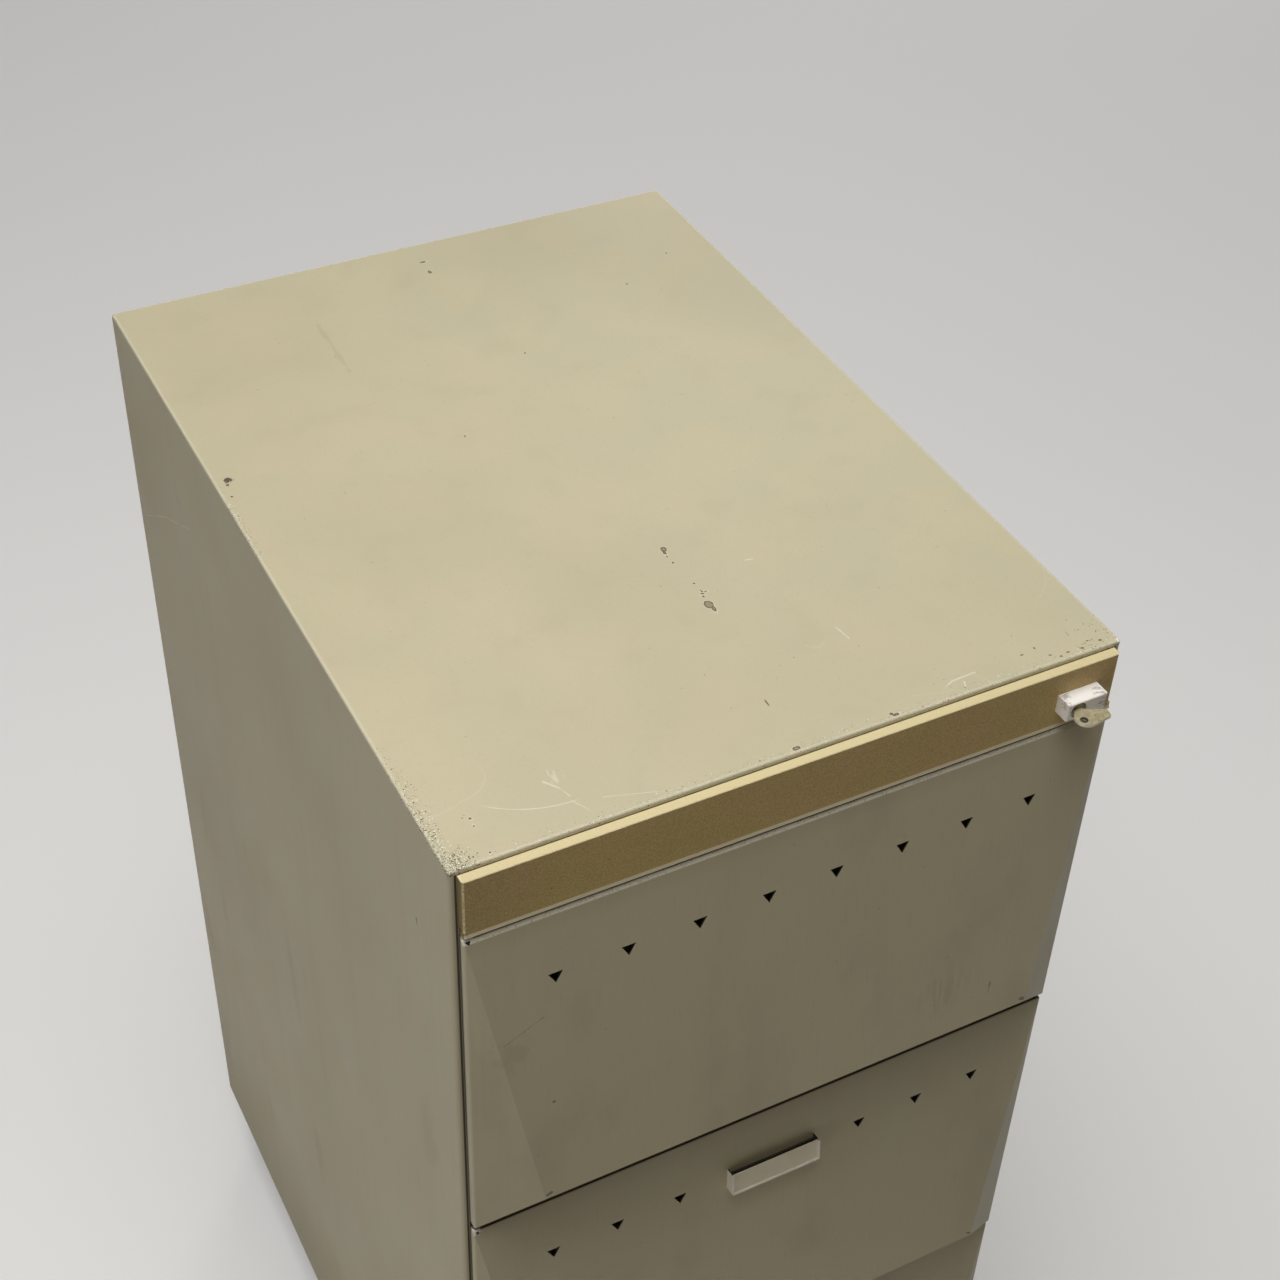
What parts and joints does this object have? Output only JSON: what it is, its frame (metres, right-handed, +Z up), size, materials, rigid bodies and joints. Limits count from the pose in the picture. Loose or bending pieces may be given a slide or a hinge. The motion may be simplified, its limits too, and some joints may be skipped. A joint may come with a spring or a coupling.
{
  "type": "filing cabinet",
  "caption": "Steel filing cabinet of stacked drawers whose folded fronts lean out to a finger pull, on telescopic roller runners, with a fascia bar, key lock and plinth.",
  "frame": {"origin": "on the floor, under the middle of the whole cabinet", "axes": "+Z up, +X to the right seen from the front, the drawer fronts face -Y"},
  "size_m": [0.46, 0.664, 1.01],
  "materials": {
    "body_enamel": "semi-gloss enamel",
    "bar_enamel": "satin enamel",
    "inner_enamel": "satin enamel",
    "plinth_enamel": "matt enamel",
    "lock_white": "gloss",
    "lock_metal": "worn plating",
    "key_metal": "worn plating",
    "runner_steel": "zinc plated",
    "roller_nylon": "moulded",
    "foot_plastic": "moulded",
    "holder_plastic": "moulded",
    "card_paper": "plain"
  },
  "bodies": {
    "case": {"top_panel": "body_enamel", "side_panel_left": "body_enamel", "side_panel_right": "body_enamel", "back_panel": "body_enamel", "floor_panel": "body_enamel", "plinth_front": "plinth_enamel", "plinth_left": "plinth_enamel", "plinth_right": "plinth_enamel", "levelling_feet": "foot_plastic", "rail_top": "body_enamel", "rail_1_2": "body_enamel", "rail_2_3": "body_enamel", "upright_front_left": "inner_enamel", "upright_front_right": "inner_enamel", "upright_rear_left": "inner_enamel", "upright_rear_right": "inner_enamel", "fascia_bar": "bar_enamel", "lock_housing": "lock_white", "lock_rod_guides": "runner_steel", "drawer_1_case_runner_left": "runner_steel", "drawer_1_case_runner_right": "runner_steel", "drawer_2_case_runner_left": "runner_steel", "drawer_2_case_runner_right": "runner_steel", "drawer_3_case_runner_left": "runner_steel", "drawer_3_case_runner_right": "runner_steel"},
    "drawer_1": {"drawer_1_front": "body_enamel", "drawer_1_inner_front": "inner_enamel", "drawer_1_tray": "inner_enamel", "drawer_1_file_rails": "runner_steel", "drawer_1_runner_left": "runner_steel", "drawer_1_runner_right": "runner_steel"},
    "drawer_1_middle": {"drawer_1_middle_runner_left": "runner_steel", "drawer_1_middle_runner_right": "runner_steel"},
    "drawer_1_front_rollers": {"drawer_1_rollers_front": "roller_nylon"},
    "drawer_1_rear_rollers": {"drawer_1_rollers_rear": "roller_nylon"},
    "drawer_2": {"drawer_2_front": "body_enamel", "drawer_2_inner_front": "inner_enamel", "drawer_2_tray": "inner_enamel", "drawer_2_file_rails": "runner_steel", "drawer_2_runner_left": "runner_steel", "drawer_2_runner_right": "runner_steel", "label_holder": "holder_plastic", "label_card": "card_paper"},
    "drawer_2_middle": {"drawer_2_middle_runner_left": "runner_steel", "drawer_2_middle_runner_right": "runner_steel"},
    "drawer_2_front_rollers": {"drawer_2_rollers_front": "roller_nylon"},
    "drawer_2_rear_rollers": {"drawer_2_rollers_rear": "roller_nylon"},
    "drawer_3": {"drawer_3_front": "body_enamel", "drawer_3_inner_front": "inner_enamel", "drawer_3_tray": "inner_enamel", "drawer_3_file_rails": "runner_steel", "drawer_3_runner_left": "runner_steel", "drawer_3_runner_right": "runner_steel"},
    "drawer_3_middle": {"drawer_3_middle_runner_left": "runner_steel", "drawer_3_middle_runner_right": "runner_steel"},
    "drawer_3_front_rollers": {"drawer_3_rollers_front": "roller_nylon"},
    "drawer_3_rear_rollers": {"drawer_3_rollers_rear": "roller_nylon"},
    "lock_cylinder": {"lock_cylinder": "lock_metal"},
    "key": {"key": "key_metal"},
    "lock_rod": {"lock_rod": "runner_steel"}
  },
  "joints": [
    {"name": "drawer_1_slide", "type": "slide", "parent": "case", "child": "drawer_1", "axis": [0, -1, 0], "range_m": [0, 0.5]},
    {"name": "drawer_1_middle_slide", "type": "slide", "parent": "case", "child": "drawer_1_middle", "axis": [0, -1, 0], "range_m": [0, 0.25]},
    {"name": "drawer_1_front_rollers_spin", "type": "hinge", "parent": "drawer_1_middle", "child": "drawer_1_front_rollers", "pos_m": [0, 0.002, 0.76], "axis": [1, 0, 0], "range_deg": [0, 710]},
    {"name": "drawer_1_rear_rollers_spin", "type": "hinge", "parent": "drawer_1_middle", "child": "drawer_1_rear_rollers", "pos_m": [0, 0.276, 0.76], "axis": [1, 0, 0], "range_deg": [0, 710]},
    {"name": "drawer_2_slide", "type": "slide", "parent": "case", "child": "drawer_2", "axis": [0, -1, 0], "range_m": [0, 0.5]},
    {"name": "drawer_2_middle_slide", "type": "slide", "parent": "case", "child": "drawer_2_middle", "axis": [0, -1, 0], "range_m": [0, 0.25]},
    {"name": "drawer_2_front_rollers_spin", "type": "hinge", "parent": "drawer_2_middle", "child": "drawer_2_front_rollers", "pos_m": [0, 0.002, 0.475], "axis": [1, 0, 0], "range_deg": [0, 710]},
    {"name": "drawer_2_rear_rollers_spin", "type": "hinge", "parent": "drawer_2_middle", "child": "drawer_2_rear_rollers", "pos_m": [0, 0.276, 0.475], "axis": [1, 0, 0], "range_deg": [0, 710]},
    {"name": "drawer_3_slide", "type": "slide", "parent": "case", "child": "drawer_3", "axis": [0, -1, 0], "range_m": [0, 0.5]},
    {"name": "drawer_3_middle_slide", "type": "slide", "parent": "case", "child": "drawer_3_middle", "axis": [0, -1, 0], "range_m": [0, 0.25]},
    {"name": "drawer_3_front_rollers_spin", "type": "hinge", "parent": "drawer_3_middle", "child": "drawer_3_front_rollers", "pos_m": [0, 0.002, 0.19], "axis": [1, 0, 0], "range_deg": [0, 710]},
    {"name": "drawer_3_rear_rollers_spin", "type": "hinge", "parent": "drawer_3_middle", "child": "drawer_3_rear_rollers", "pos_m": [0, 0.276, 0.19], "axis": [1, 0, 0], "range_deg": [0, 710]},
    {"name": "lock_turn", "type": "hinge", "parent": "case", "child": "lock_cylinder", "pos_m": [0.189, -0.308, 0.9817], "axis": [0, 1, 0], "range_deg": [0, 90]},
    {"name": "key_pull", "type": "slide", "parent": "lock_cylinder", "child": "key", "axis": [0, -1, 0], "range_m": [0, 0.03]},
    {"name": "lock_rod_slide", "type": "slide", "parent": "case", "child": "lock_rod", "axis": [0, 0, -1], "range_m": [0, 0.0099]}
  ],
  "couplings": [
    {"joint": "drawer_1_middle_slide", "follows": "drawer_1_slide", "ratio": 0.5},
    {"joint": "drawer_1_front_rollers_spin", "follows": "drawer_1_slide", "rad_per_m": 24.631},
    {"joint": "drawer_1_rear_rollers_spin", "follows": "drawer_1_slide", "rad_per_m": 24.631},
    {"joint": "drawer_2_middle_slide", "follows": "drawer_2_slide", "ratio": 0.5},
    {"joint": "drawer_2_front_rollers_spin", "follows": "drawer_2_slide", "rad_per_m": 24.631},
    {"joint": "drawer_2_rear_rollers_spin", "follows": "drawer_2_slide", "rad_per_m": 24.631},
    {"joint": "drawer_3_middle_slide", "follows": "drawer_3_slide", "ratio": 0.5},
    {"joint": "drawer_3_front_rollers_spin", "follows": "drawer_3_slide", "rad_per_m": 24.631},
    {"joint": "drawer_3_rear_rollers_spin", "follows": "drawer_3_slide", "rad_per_m": 24.631},
    {"joint": "lock_rod_slide", "follows": "lock_turn", "m_per_rad": 0.0063}
  ]
}
